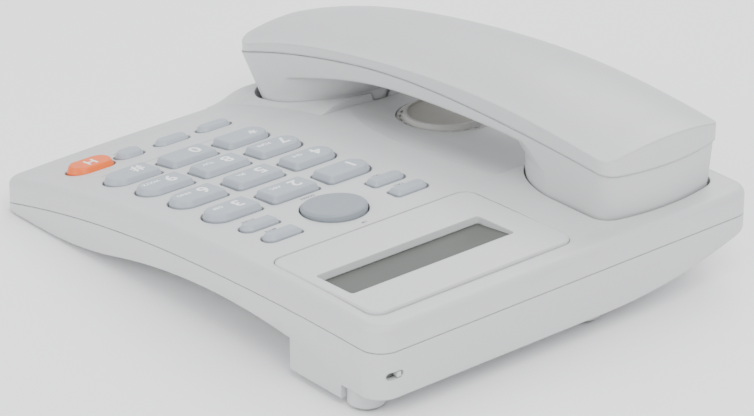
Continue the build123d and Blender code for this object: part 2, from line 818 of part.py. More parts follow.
# ---------------------------------------------------------------- jacks
def jack(y, z, size, mouth):
    """A modular jack: a block with a stepped mouth that faces left."""
    with BuildPart() as body:
        add(jack_block(y, z, size, jack_depth, 0))
        with BuildSketch(Plane.YZ.offset(jack_face)):
            with Locations((y, z)):
                Rectangle(*mouth)
            with Locations((y, z - mouth[1] / 2)):
                Rectangle(mouth[0] / 2.4, 1.6)
        extrude(amount=jack_depth - 2.5, mode=Mode.SUBTRACT)
    return body.part


handset_mouth = (7.7, 5.8)
line_mouth = (9.8, 6.2)
handset_jack = jack(handset_jack_y, handset_jack_z, handset_jack_size, handset_mouth)
handset_jack.label = "handset_jack"
export_step(handset_jack, "parts/handset_jack.step")

line_jack = jack(line_jack_y, line_jack_z, line_jack_size, line_mouth)
line_jack.label = "line_jack"
export_step(line_jack, "parts/line_jack.step")


# ---------------------------------------------------------------- batteries and their door
cell_rows = (70.6, 81.6)
cell_z = door_top + door_gap + battery_radius
cell_lefts = (-16.2, 30.6)
nub_length = 1.0
can_length = battery_length - nub_length
with BuildPart() as batteries:
    for row, y in enumerate(cell_rows):
        for left in cell_lefts:
            with BuildSketch(Plane.YZ.offset(left)):
                with Locations((y, cell_z)):
                    Circle(battery_radius)
            extrude(amount=can_length)
            # the positive nub, at opposite ends in the two rows
            nub = left - nub_length if row == 0 else left + can_length
            with BuildSketch(Plane.YZ.offset(nub)):
                with Locations((y, cell_z)):
                    Circle(1.9)
            extrude(amount=nub_length)
batteries.part.label = "batteries"
export_step(batteries.part, "parts/batteries.step")

with BuildPart() as battery_contacts:
    for x in (cell_bay_left + 0.1, cell_bay_right - 0.5, 28.5):
        add(upright_block(x, x + 0.4, cell_rows[0] - 4, cell_rows[1] + 4, 4.6, 14.6))
battery_contacts.part.label = "battery_contacts"
export_step(battery_contacts.part, "parts/battery_contacts.step")

ridge_pitch = 2.2
with BuildPart() as battery_door:
    door_left = cell_bay_left + door_gap
    door_right = cell_bay_right - door_gap
    door_front = cell_bay_front + door_gap
    door_rear = cell_bay_rear - door_gap
    add(upright_block(door_left, door_right, door_front, door_rear, block_bottom + 0.1, door_top, 1.5))
    # grip ridges for the thumb
    for step in range(4):
        y = cell_bay_front + 4 + step * ridge_pitch
        add(upright_block(18, 38, y, y + 0.9, block_bottom - 0.3, block_bottom + 0.2))
battery_door.part.label = "battery_door"
export_step(battery_door.part, "parts/battery_door.step")


# ---------------------------------------------------------------- ringer switch
ringer_travel = 1.6
switch_half = 2.6
slider_half = 0.9
with BuildPart() as ringer_switch:
    switch_rear = base_rear - wall - 0.6
    switch_plan = (ringer_x - 5.0, ringer_x + 1.5, switch_rear - 3.8, switch_rear)
    add(upright_block(*switch_plan, ringer_z - switch_half, ringer_z + switch_half))
ringer_switch.part.label = "ringer_switch"
export_step(ringer_switch.part, "parts/ringer_switch.step")

with BuildPart() as ringer_slider:
    slider_x = ringer_x - ringer_travel
    slider_plan = (slider_x - slider_half, slider_x + slider_half, base_rear - wall - 0.1, base_rear - 0.1)
    add(upright_block(*slider_plan, ringer_z - slider_half, ringer_z + slider_half, 0.3))
ringer_slider.part.label = "ringer_slider"
export_step(ringer_slider.part, "parts/ringer_slider.step")


# ---------------------------------------------------------------- feet and screws
with BuildPart() as rear_feet:
    add(posts(rear_feet_at, foot_radius - 1.0, 0, 2.0))
    fillet(rear_feet.faces().group_by(Axis.Z)[0].edges(), radius=0.5)
rear_feet.part.label = "rear_feet"
export_step(rear_feet.part, "parts/rear_feet.step")

with BuildPart() as front_feet:
    add(posts(front_feet_at, foot_radius - 1.0, 0, 1.8))
    fillet(front_feet.faces().group_by(Axis.Z)[0].edges(), radius=0.4)
front_feet.part.label = "front_feet"
export_step(front_feet.part, "parts/front_feet.step")

with BuildPart() as base_screws:
    for x, y in screw_places:
        head = floor_z(y) + 2.6
        add(posts([(x, y)], 2.5, head - 1.8, head))
        add(posts([(x, y)], screw_radius - 0.05, head, seam_z(y) + screw_depth - 0.4))
base_screws.part.label = "base_screws"
export_step(base_screws.part, "parts/base_screws.step")

with BuildPart() as board_screws:
    add(board_pins(2.4, -board_thickness - 1.2, -board_thickness))
    add(board_pins(1.2, -board_thickness, 3.0))
    add(posts(main_screws, 2.4, main_high, main_high + 1.2))
    add(posts(main_screws, 1.2, bay_roof + 0.4, main_high))
board_screws.part.label = "board_screws"
export_step(board_screws.part, "parts/board_screws.step")


# ---------------------------------------------------------------- handset
# side profiles as (y, z): the seam between its shells, the underside of the grip, the middle of the back
handset_seam = [
    (-125, 21.0),
    (-100, 30.2),
    (-87, 34.5),
    (-55, 42.8),
    (-20, 49.0),
    (20, 51.5),
    (60, 50.9),
    (99.5, 48.6),
    (125, 46.0),
]
grip_under = [(-125, 10.0), (-60, 30.5), (-20, 41.0), (10, 44.2), (40, 45.6), (75, 45.0), (125, 42.0)]
crown_line = [
    (-125, 26.0),
    (-100, 38.6),
    (-70, 48.6),
    (-40, 54.8),
    (0, 60.2),
    (45, 62.4),
    (75, 61.0),
    (100, 58.6),
    (125, 55.5),
]


def handset_plan(inset):
    """The handset's plan pulled straight up: both ends crowned, the front one rounder."""
    left = handset_x - handset_half + inset
    right = handset_x + handset_half - inset
    front = handset_front + inset
    rear = handset_rear - inset
    front_edge = front + 5
    rear_edge = rear - 4
    with BuildPart() as block:
        with BuildSketch() as plan:
            with BuildLine():
                Line((left, front_edge), (left, rear_edge))
                ThreePointArc((left, rear_edge), (handset_x, rear), (right, rear_edge))
                Line((right, rear_edge), (right, front_edge))
                ThreePointArc((right, front_edge), (handset_x, front), (left, front_edge))
            make_face()
            fillet(plan.vertices().sort_by(Axis.Y)[:2], radius=13 - inset)
            fillet(plan.vertices().sort_by(Axis.Y)[-2:], radius=6 - inset)
        extrude(amount=80)
    return block.part


def between(low_points, high_points, rise_low=0.0, rise_high=0.0):
    """Everything between two side profiles, wider than the handset."""
    with BuildPart() as slab:
        with BuildSketch(Plane.YZ):
            with BuildLine():
                low = Spline(*[(y, z + rise_low) for y, z in low_points])
                high = Spline(*[(y, z + rise_high) for y, z in high_points])
                Line(low @ 0, high @ 0)
                Line(low @ 1, high @ 1)
            make_face()
        extrude(amount=far, both=True)
    return slab.part


def swept_arch(line_points, half_width, edge_drop, fill, lift):
    """A shallow arch across the handset, carried along a side profile and filled to one side of it.

    Edge drop and fill are measured down from the arch's middle."""
    with BuildPart() as arch:
        with BuildLine() as line:
            Spline(*[(handset_x, y, z + lift) for y, z in line_points])
        path = line.line
        start = Plane(origin=path @ 0, x_dir=(1, 0, 0), z_dir=path % 0)
        with BuildSketch(start):
            with BuildLine():
                left_edge = (-half_width, edge_drop)
                right_edge = (half_width, edge_drop)
                ThreePointArc(left_edge, (0, 0), right_edge)
                Polyline(right_edge, (half_width, fill), (-half_width, fill), left_edge)
            make_face()
        sweep(path=path)
    return arch.part


def crowned_back(inset):
    """The handset's back, filled downwards."""
    return swept_arch(crown_line, handset_half + 0.3 - inset, 5.6, 20, -inset)


def hollow_grip(inset):
    """The underside of the grip, a little lower along its middle, filled upwards."""
    return swept_arch(grip_under, handset_half + 1.5, -2.5, -26, inset)


def nose_block(inset):
    """Rounds the front end in side view."""
    with BuildPart() as block:
        with BuildSketch(Plane.YZ):
            with BuildLine():
                front = handset_front + inset
                low = (front, 27.0)
                high = (front + 10.0, 41.4 - inset)
                ThreePointArc(low, (front + 2.2, 34.4 - inset / 2), high)
                Polyline(high, (front + 20, 80), (far, 80), (far, 0), (front, 0), low)
            make_face()
        extrude(amount=far, both=True)
    return block.part


front_head_bottom = front_floor_drop - 0.6
rear_head_bottom = rear_pocket_floor + 0.6
envelope_bottom = 16.6
envelope_height = 60.0
envelope_slope = 0.1


def lower_envelope(inset):
    """The outer walls of the handset's lower half: they lean out as they rise, and the chin slopes."""
    stretch = (1 + envelope_slope**2) ** 0.5
    levels = ((0, 24.9, -90.0, 97.2, 2.0), (envelope_height, 27.0, -135.4, 102.0, 10.0))
    with BuildPart() as block:
        for level, half, front, rear, chin in levels:
            half = half - inset
            front = (front + inset) * stretch
            rear = (rear - inset) * stretch
            origin = (handset_x, 0, envelope_bottom + level)
            with BuildSketch(Plane(origin, x_dir=(1, 0, 0), z_dir=(0, -envelope_slope, 1))) as plan:
                with BuildLine():
                    Line((-half, front + chin), (-half, rear - 4))
                    ThreePointArc((-half, rear - 4), (0, rear), (half, rear - 4))
                    Line((half, rear - 4), (half, front + chin))
                    ThreePointArc((half, front + chin), (0, front), (-half, front + chin))
                make_face()
                fillet(plan.vertices().sort_by(Axis.Y)[:2], radius=13 - inset)
                fillet(plan.vertices().sort_by(Axis.Y)[-2:], radius=6.5 - inset)
        loft(ruled=True)
    return block.part


# each head from its bottom up: height at y = 0, half width, square end, centre and length of the
# rounded end, crown, corner
bank_level = bank_z - bank_front * bank_slope
front_levels = (
    (bank_level - front_head_bottom, 25.2, -97.4, -80.0, 31.0, 3.0, 11.0),
    (bank_level + 0.6, 25.4, -100.0, -80.0, 31.3, 3.0, 11.0),
    (bank_level + 20.0, 27.0, -118.0, -78.0, 52.0, 4.0, 12.0),
    (bank_level + 32.0, 28.0, -128.0, -76.0, 62.0, 4.0, 12.0),
)
rear_levels = (
    (rear_head_bottom, 25.2, 97.7, 72.0, 33.0, 4.0, 6.5),
    (40.5, 26.0, 100.0, 72.0, 33.4, 4.0, 6.5),
    (46.5, 27.0, 101.0, 69.0, 37.5, 4.0, 6.5),
    (54.0, 28.0, 102.0, 60.0, 50.0, 4.0, 6.5),
)


def leaning_head(levels, slope, inset):
    """A head joined from outlines at several levels, each wider than the one below it."""
    stretch = (1 + slope**2) ** 0.5
    bottom = levels[0][0]
    with BuildPart() as head:
        for z, half, end, centre, length, crown, corner in levels:
            height = z + inset if z == bottom else z
            inner_end = end - inset if end > 0 else end + inset
            sizes = (half - inset, inner_end, centre, length - inset, crown, corner - inset)
            with BuildSketch(Plane((0, 0, height), x_dir=(1, 0, 0), z_dir=(0, -slope, 1))):
                add(head_outline(*sizes, stretch))
        loft(ruled=True)
    return head.part


def handset_heads(inset):
    """Both heads, from their bottoms to above the seam."""
    return [leaning_head(front_levels, bank_slope, inset), leaning_head(rear_levels, 0.0, inset)]


def lower_body(inset, rise):
    """The handset's lower half, cut off rise above the seam."""
    below_seam = between(handset_seam, handset_seam, -60, rise)
    envelope = lower_envelope(inset)
    grip = envelope & hollow_grip(inset) & below_seam
    heads = [head & envelope & below_seam for head in handset_heads(inset)]
    return grip + heads[0] + heads[1]


with BuildPart() as upper_hollow:
    add(handset_plan(handset_wall))
    add(crowned_back(handset_wall), mode=Mode.INTERSECT)
    add(nose_block(handset_wall), mode=Mode.INTERSECT)
    add(between(handset_seam, handset_seam, -1, 40), mode=Mode.INTERSECT)

# the two handset screws: y, then the heights of the underside, the seam and the boss's top
handset_screw_places = ((-26.0, 39.8, 48.1, 55.8), (26.0, 45.0, 51.5, 60.8))
cord_jack_size = (10.0, 8.4, 11.0)
cord_jack_front = -97.6
cord_jack_low = 17.0
receiver_y = 74.0
transmitter_y = -80.0
handset_boss_radius = 3.4
handset_head_radius = 2.5


def cord_jack_block(grow, outwards=0.0):
    """The handset's jack body, in the front wall of its front head."""
    width, height, depth = cord_jack_size
    left = handset_x - width / 2 - grow
    right = handset_x + width / 2 + grow
    front = cord_jack_front - outwards
    rear = cord_jack_front + depth + grow
    low = cord_jack_low - grow
    high = cord_jack_low + height + grow
    return upright_block(left, right, front, rear, low, high)


with BuildPart() as handset_lower_shell:
    add(lower_body(0, -seam_gap))
    add(lower_body(handset_wall, 1), mode=Mode.SUBTRACT)
    for y, under, seam, boss_top in handset_screw_places:
        add(posts([(handset_x, y)], handset_boss_radius, under + 0.8, seam - 0.6))
        add(posts([(handset_x, y)], 1.6, 0, seam), mode=Mode.SUBTRACT)
        add(posts([(handset_x, y)], handset_head_radius + 0.2, under - 20, under + 2.6), mode=Mode.SUBTRACT)
    add(cord_jack_block(0.1, 12.0), mode=Mode.SUBTRACT)
    # sound holes under the receiver, and the microphone's slot
    with BuildSketch(Plane.XY.offset(rear_head_bottom - 1)):
        with Locations((handset_x, receiver_y)):
            with PolarLocations(5.0, 6):
                Circle(1.1)
            Circle(1.1)
    extrude(amount=5, mode=Mode.SUBTRACT)
    with BuildSketch(Plane.XY):
        with Locations((handset_x, transmitter_y)):
            SlotOverall(7.0, 1.4)
    extrude(amount=24, mode=Mode.SUBTRACT)
handset_lower_shell.part.label = "handset_lower_shell"
export_step(handset_lower_shell.part, "parts/handset_lower_shell.step")

with BuildPart() as handset_upper_shell:
    add(handset_plan(0))
    add(crowned_back(0), mode=Mode.INTERSECT)
    add(nose_block(0), mode=Mode.INTERSECT)
    add(between(handset_seam, handset_seam, 0, 40), mode=Mode.INTERSECT)
    add(upper_hollow.part, mode=Mode.SUBTRACT)
    for y, under, seam, boss_top in handset_screw_places:
        add(posts([(handset_x, y)], handset_boss_radius, seam + 0.6, boss_top))
        add(posts([(handset_x, y)], 1.4, seam, seam + 6.0), mode=Mode.SUBTRACT)
handset_upper_shell.part.label = "handset_upper_shell"
export_step(handset_upper_shell.part, "parts/handset_upper_shell.step")

with BuildPart() as handset_screws:
    for y, under, seam, boss_top in handset_screw_places:
        add(posts([(handset_x, y)], handset_head_radius, under + 0.8, under + 2.6))
        add(posts([(handset_x, y)], 1.35, under + 2.6, seam + 5.0))
handset_screws.part.label = "handset_screws"
export_step(handset_screws.part, "parts/handset_screws.step")

with BuildPart() as handset_cord_jack:
    add(cord_jack_block(0))
    width, height, depth = cord_jack_size
    jack_middle = cord_jack_low + height / 2
    with BuildSketch(Plane.XZ.offset(-cord_jack_front)):
        with Locations((handset_x, jack_middle)):
            Rectangle(*handset_mouth)
        with Locations((handset_x, jack_middle - handset_mouth[1] / 2)):
            Rectangle(handset_mouth[0] / 2.4, 1.6)
    extrude(amount=-(depth - 1.5), mode=Mode.SUBTRACT)
handset_cord_jack.part.label = "handset_cord_jack"
export_step(handset_cord_jack.part, "parts/handset_cord_jack.step")

with BuildPart() as receiver_capsule:
    receiver_low = rear_head_bottom + handset_wall + 0.2
    add(posts([(handset_x, receiver_y)], 15.0, receiver_low, receiver_low + 5.0))
    add(posts([(handset_x, receiver_y)], 9.0, receiver_low + 5.0, receiver_low + 8.5))
    add(posts([(handset_x, receiver_y)], 12.5, 0, receiver_low + 0.8), mode=Mode.SUBTRACT)
receiver_capsule.part.label = "receiver_capsule"
export_step(receiver_capsule.part, "parts/receiver_capsule.step")

with BuildPart() as handset_microphone:
    add(posts([(handset_x, transmitter_y)], 4.8, 18.0, 23.0))
handset_microphone.part.label = "handset_microphone"
export_step(handset_microphone.part, "parts/handset_microphone.step")

with BuildPart() as handset_weight:
    add(upright_block(handset_x - 10, handset_x + 10, -19, 19, 47.2, 52.4))
    chamfer(handset_weight.edges(), length=0.4)
handset_weight.part.label = "handset_weight"
export_step(handset_weight.part, "parts/handset_weight.step")
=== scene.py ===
"""Looks of a corded desk telephone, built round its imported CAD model."""

import bpy
from mathutils import Matrix, Vector


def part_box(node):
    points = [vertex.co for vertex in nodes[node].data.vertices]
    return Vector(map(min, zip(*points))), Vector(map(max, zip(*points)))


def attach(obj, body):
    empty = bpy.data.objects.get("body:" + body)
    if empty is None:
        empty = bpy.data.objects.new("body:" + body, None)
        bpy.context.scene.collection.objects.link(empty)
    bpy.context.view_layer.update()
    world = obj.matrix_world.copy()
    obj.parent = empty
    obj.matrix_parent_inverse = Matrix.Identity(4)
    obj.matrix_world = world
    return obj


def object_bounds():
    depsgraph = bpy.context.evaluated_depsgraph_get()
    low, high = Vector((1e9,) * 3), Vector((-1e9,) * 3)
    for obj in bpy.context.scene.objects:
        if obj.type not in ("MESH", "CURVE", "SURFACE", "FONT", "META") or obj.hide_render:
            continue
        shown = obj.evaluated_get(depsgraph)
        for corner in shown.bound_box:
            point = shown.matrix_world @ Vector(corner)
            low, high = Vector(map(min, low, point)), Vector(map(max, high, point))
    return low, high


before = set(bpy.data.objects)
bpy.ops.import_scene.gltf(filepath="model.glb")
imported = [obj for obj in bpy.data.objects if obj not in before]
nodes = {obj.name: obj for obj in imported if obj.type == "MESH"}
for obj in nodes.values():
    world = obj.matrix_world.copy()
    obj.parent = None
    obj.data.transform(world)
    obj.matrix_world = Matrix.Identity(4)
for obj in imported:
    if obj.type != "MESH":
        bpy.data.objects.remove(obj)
cad_low, cad_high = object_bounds()
MM = 0.001


# ------------------------------------------------------------------ camera and light
CAMERA_PLACE = Vector((0.6780, 0.81635, 0.51819))
CAMERA_BACK = Vector((0.57993, 0.69112, 0.43134))
CAMERA_RIGHT = Vector((-0.76604, 0.64279, 0.0))
CAMERA_LENS = 163.3
SENSOR_WIDTH = 36.0


def add_camera():
    """The camera that looks down on the telephone from behind its right side."""
    data = bpy.data.cameras.new("camera")
    data.lens = CAMERA_LENS
    data.sensor_width = SENSOR_WIDTH
    data.clip_start = 0.05
    data.clip_end = 20
    camera = bpy.data.objects.new("camera", data)
    bpy.context.scene.collection.objects.link(camera)
    back = CAMERA_BACK.normalized()
    right = CAMERA_RIGHT.normalized()
    up = back.cross(right)
    turn = Matrix((right, up, back)).transposed().to_4x4()
    camera.matrix_world = Matrix.Translation(CAMERA_PLACE) @ turn
    bpy.context.scene.camera = camera


# each soft light's place, width, height and power; all of them point at the origin
LIGHTS = {
    "key_light": ((0.2, 0.9, 1.3), 1.2, 1.2, 20),
    "fill_light": ((1.3, -0.2, 0.7), 1.2, 1.0, 9),
    "back_light": ((-1.0, -0.6, 1.1), 1.0, 1.0, 14),
}
SKY_COLOUR = (0.93, 0.95, 1.0, 1)
SKY_STRENGTH = 1.15
FLOOR_SIZE = 8.0
FLOOR_DROP = 0.1 * MM


def area_light(name, place, width, height, power):
    """A rectangular soft light that points at the origin."""
    data = bpy.data.lights.new(name, "AREA")
    data.shape = "RECTANGLE"
    data.size = width
    data.size_y = height
    data.energy = power
    light = bpy.data.objects.new(name, data)
    light.location = place
    light.rotation_euler = (-Vector(place)).to_track_quat("-Z", "Y").to_euler()
    bpy.context.scene.collection.objects.link(light)


def add_studio():
    """Soft lights, a pale sky and the floor."""
    for name, (place, width, height, power) in LIGHTS.items():
        area_light(name, place, width, height, power)
    world = bpy.data.worlds.new("studio")
    bpy.context.scene.world = world
    world.use_nodes = True
    background = world.node_tree.nodes["Background"]
    background.inputs["Color"].default_value = SKY_COLOUR
    background.inputs["Strength"].default_value = SKY_STRENGTH
    bpy.ops.mesh.primitive_plane_add(size=FLOOR_SIZE, location=(0, 0, -FLOOR_DROP))
    floor = bpy.context.object
    floor.name = "floor"
    floor.data.materials.append(plain_floor())


# ------------------------------------------------------------------ materials
class Shader:
    """A small helper that adds and joins the nodes of one material."""

    def __init__(self, name):
        self.material = bpy.data.materials.new(name)
        self.material.use_nodes = True
        self.tree = self.material.node_tree
        self.surface = self.tree.nodes["Principled BSDF"]
        self.place = self.add("ShaderNodeTexCoord").outputs["Object"]

    def add(self, kind, **values):
        """A new node of a kind, with some of its settings."""
        node = self.tree.nodes.new(kind)
        for key, value in values.items():
            setattr(node, key, value)
        return node

    def join(self, source, target):
        """Links an output to an input."""
        self.tree.links.new(source, target)

    def noise(self, scale, detail=3.0, roughness=0.5, stretch=None):
        """Noise over the object's own coordinates, stretched along an axis if asked."""
        node = self.add("ShaderNodeTexNoise")
        node.inputs["Scale"].default_value = scale
        node.inputs["Detail"].default_value = detail
        node.inputs["Roughness"].default_value = roughness
        place = self.place
        if stretch:
            mapping = self.add("ShaderNodeMapping")
            mapping.inputs["Scale"].default_value = stretch
            self.join(self.place, mapping.inputs["Vector"])
            place = mapping.outputs["Vector"]
        self.join(place, node.inputs["Vector"])
        return node.outputs["Fac"]

    def ramp(self, source, stops):
        """Colours along a grey value, two of them, each as (position, colour)."""
        node = self.add("ShaderNodeValToRGB")
        for point, (position, colour) in zip(node.color_ramp.elements, stops):
            point.position = position
            point.color = (*colour, 1.0)
        self.join(source, node.inputs["Fac"])
        return node.outputs["Color"]

    def mix(self, factor, first, second):
        """Two colours mixed by a factor."""
        node = self.add("ShaderNodeMix", data_type="RGBA")
        self.feed(node.inputs["Factor"], factor)
        self.feed(node.inputs["A"], first)
        self.feed(node.inputs["B"], second)
        return node.outputs["Result"]

    def feed(self, socket, value):
        """Links a socket to a node's output, or sets its own colour or number."""
        if isinstance(value, bpy.types.NodeSocket):
            self.join(value, socket)
        elif isinstance(value, tuple) and len(value) == 3:
            socket.default_value = (*value, 1.0)
        else:
            socket.default_value = value

    def spread(self, source, low, high):
        """Maps a 0.3 to 0.7 noise on to low to high."""
        node = self.add("ShaderNodeMapRange")
        node.inputs["From Min"].default_value = 0.3
        node.inputs["From Max"].default_value = 0.7
        node.inputs["To Min"].default_value = low
        node.inputs["To Max"].default_value = high
        self.join(source, node.inputs["Value"])
        return node.outputs["Result"]

    def bump(self, height, depth, strength, normal=None):
        """A bump map of a real depth, over another normal if one is given."""
        node = self.add("ShaderNodeBump")
        node.inputs["Distance"].default_value = depth
        node.inputs["Strength"].default_value = strength
        self.join(height, node.inputs["Height"])
        if normal:
            self.join(normal, node.inputs["Normal"])
        return node.outputs["Normal"]

    def finish(self, colour, roughness, normal=None):
        """Fills in the surface and gives the finished material."""
        self.feed(self.surface.inputs["Base Color"], colour)
        self.feed(self.surface.inputs["Roughness"], roughness)
        if normal:
            self.join(normal, self.surface.inputs["Normal"])
        return self.material


def tinted(colour, factor):
    """A colour made lighter or darker."""
    return tuple(min(1.0, channel * factor) for channel in colour)


def moulded(name, colour, roughness=0.42, variation=0.025, soft_edge=0.6 * MM):
    """Moulded plastic: a fine spark-eroded grain, faint clouding, a painted highlight that lightens the
    convex edges, and soft corners.
    """
    shader = Shader(name)
    clouds = shader.noise(18.0, 2.0)
    grain = shader.noise(2600.0, 2.0, 0.6)
    smudges = shader.noise(60.0, 4.0, 0.6)
    darker = tinted(colour, 1 - variation)
    lighter = tinted(colour, 1 + variation)
    base = shader.ramp(clouds, [(0.3, darker), (0.7, lighter)])
    edge = shader.add("ShaderNodeNewGeometry").outputs["Pointiness"]
    # painted highlight: convex edges (high pointiness) are painted 5% lighter, as if light caught them
    painted_edge_highlight = shader.ramp(edge, [(0.5, (0.0, 0.0, 0.0)), (0.56, (1.0, 1.0, 1.0))])
    base = shader.mix(painted_edge_highlight, base, tinted(colour, 1.05))
    gloss = shader.spread(smudges, roughness - 0.05, roughness + 0.06)
    rounded = shader.add("ShaderNodeBevel")
    rounded.inputs["Radius"].default_value = soft_edge
    normal = shader.bump(grain, 0.03 * MM, 0.35, rounded.outputs["Normal"])
    return shader.finish(base, gloss, normal)


def disc_with_painted_shade(name, centre, radius, shaded_inner, outer):
    """Moulded plastic whose round middle is painted a darker beige, painted shade of the recessed middle
    under the handset.
    """
    shader = Shader(name)
    distance = shader.add("ShaderNodeVectorMath", operation="DISTANCE")
    shader.join(shader.place, distance.inputs[0])
    distance.inputs[1].default_value = centre
    # mask of the painted shade: inside the radius the middle gets the darker, shaded colour
    edge = shader.add("ShaderNodeMath", operation="GREATER_THAN")
    shader.join(distance.outputs["Value"], edge.inputs[0])
    edge.inputs[1].default_value = radius
    clouds = shader.noise(60.0, 3.0)
    shaded_inner_colour = shader.ramp(clouds, [(0.3, tinted(shaded_inner, 0.94)), (0.7, tinted(shaded_inner, 1.05))])
    outer_colour = shader.ramp(clouds, [(0.3, tinted(outer, 0.97)), (0.7, tinted(outer, 1.03))])
    base = shader.mix(edge.outputs["Value"], shaded_inner_colour, outer_colour)
    normal = shader.bump(shader.noise(1800.0, 2.0), 0.04 * MM, 0.5)
    return shader.finish(base, 0.5, normal)


def metal(name, colour, roughness):
    """Plated steel with fine drawing marks."""
    shader = Shader(name)
    marks = shader.noise(300.0, 3.0, 0.6, stretch=(1.0, 14.0, 1.0))
    base = shader.ramp(marks, [(0.3, tinted(colour, 0.85)), (0.7, tinted(colour, 1.1))])
    shader.surface.inputs["Metallic"].default_value = 1.0
    gloss = shader.spread(marks, roughness - 0.08, roughness + 0.1)
    return shader.finish(base, gloss, shader.bump(marks, 0.02 * MM, 0.3))


def rubbery(name, colour):
    """Matt elastomer with a dusty, pebbled skin."""
    shader = Shader(name)
    dust = shader.noise(120.0, 5.0, 0.65)
    base = shader.ramp(dust, [(0.35, tinted(colour, 0.85)), (0.7, tinted(colour, 1.25))])
    pebbles = shader.noise(900.0, 2.0)
    return shader.finish(base, shader.spread(dust, 0.7, 0.9), shader.bump(pebbles, 0.06 * MM, 0.6))


def circuit_board():
    """Green lacquer over faint copper tracks."""
    shader = Shader("circuit_board")
    tracks = shader.add("ShaderNodeTexBrick")
    tracks.inputs["Scale"].default_value = 90.0
    tracks.inputs["Mortar Size"].default_value = 0.03
    tracks.inputs["Color1"].default_value = (0.012, 0.10, 0.035, 1)
    tracks.inputs["Color2"].default_value = (0.010, 0.085, 0.03, 1)
    tracks.inputs["Mortar"].default_value = (0.03, 0.20, 0.06, 1)
    shader.join(shader.place, tracks.inputs["Vector"])
    shader.surface.inputs["Coat Weight"].default_value = 0.4
    relief = shader.bump(tracks.outputs["Fac"], 0.03 * MM, 0.4)
    return shader.finish(tracks.outputs["Color"], 0.4, relief)


def cell_wrap():
    """Printed battery sleeve with a dark band along one end of each cell."""
    shader = Shader("cell_wrap")
    band = shader.add("ShaderNodeTexWave", wave_type="BANDS", bands_direction="X")
    band.inputs["Scale"].default_value = 6.8
    shader.join(shader.place, band.inputs["Vector"])
    colour = shader.ramp(band.outputs["Fac"], [(0.48, (0.02, 0.05, 0.14)), (0.52, (0.45, 0.47, 0.50))])
    shader.surface.inputs["Coat Weight"].default_value = 0.5
    return shader.finish(colour, 0.35, shader.bump(shader.noise(200.0, 2.0), 0.02 * MM, 0.2))


def display_glass():
    """The switched-off display: grey-green, faintly mottled, under a clear window."""
    shader = Shader("display_glass")
    mottle = shader.noise(35.0, 3.0)
    base = shader.ramp(mottle, [(0.3, (0.056, 0.062, 0.052)), (0.7, (0.068, 0.074, 0.063))])
    shader.surface.inputs["Coat Weight"].default_value = 0.15
    shader.surface.inputs["Coat Roughness"].default_value = 0.15
    return shader.finish(base, 0.45, shader.bump(shader.noise(500.0, 1.0), 0.01 * MM, 0.15))


def print_paint(name, colour):
    """Pad-printed ink, slightly uneven."""
    shader = Shader(name)
    ink = shader.noise(700.0, 3.0, 0.6)
    base = shader.ramp(ink, [(0.3, tinted(colour, 0.93)), (0.7, tinted(colour, 1.04))])
    return shader.finish(base, shader.spread(ink, 0.45, 0.6), shader.bump(ink, 0.01 * MM, 0.3))


def plain_floor():
    """Pale paper with faint, broad clouding."""
    shader = Shader("floor_paper")
    soft = shader.noise(3.0, 2.0)
    colour = shader.ramp(soft, [(0.3, (0.95, 0.95, 0.95)), (0.7, (0.97, 0.97, 0.97))])
    return shader.finish(colour, 0.8)


def paint_nodes(material, *names):
    """Gives CAD nodes one material."""
    for name in names:
        mesh = nodes[name].data
        mesh.materials.clear()
        mesh.materials.append(material)


HOUSING = (0.545, 0.55, 0.545)
PANEL = (0.555, 0.56, 0.555)
KEY_GREY = (0.36, 0.395, 0.43)
NAVIGATION_GREY = (0.245, 0.275, 0.30)
ORANGE = (0.85, 0.14, 0.010)
# the cover's middle colour is darker beige, painted shade of the recess under the handset; the radius bounds
# that painted shade
COVER_SHADED_MIDDLE = (0.37, 0.355, 0.32)
COVER_RIM = (0.52, 0.51, 0.49)
COVER_SHADE_RADIUS = 15.4 * MM
BLACK_PARTS = (
    "control_chips", "capacitors", "line_transformer", "base_microphone", "hook_switch",
    "handset_microphone", "receiver_capsule", "speaker_driver",
)
STEEL_PARTS = (
    "hook_spring", "base_screws", "board_screws", "handset_screws", "battery_contacts", "handset_weight",
)
DIGIT_KEYS = {
    "key_1": ("1", ""), "key_2": ("2", "ABC"), "key_3": ("3", "DEF"),
    "key_4": ("4", "GHI"), "key_5": ("5", "JKL"), "key_6": ("6", "MNO"),
    "key_7": ("7", "PQRS"), "key_8": ("8", "TUV"), "key_9": ("9", "WXYZ"),
    "key_star": ("*", ""), "key_0": ("0", ""), "key_hash": ("#", ""),
}
SMALL_KEYS = {
    "key_hold": "HOLD", "key_flash": "FLASH", "key_redial": "REDIAL", "key_out": "OUT",
    "key_callback": "CALL", "key_store": "STORE", "key_mute": "MUTE",
}


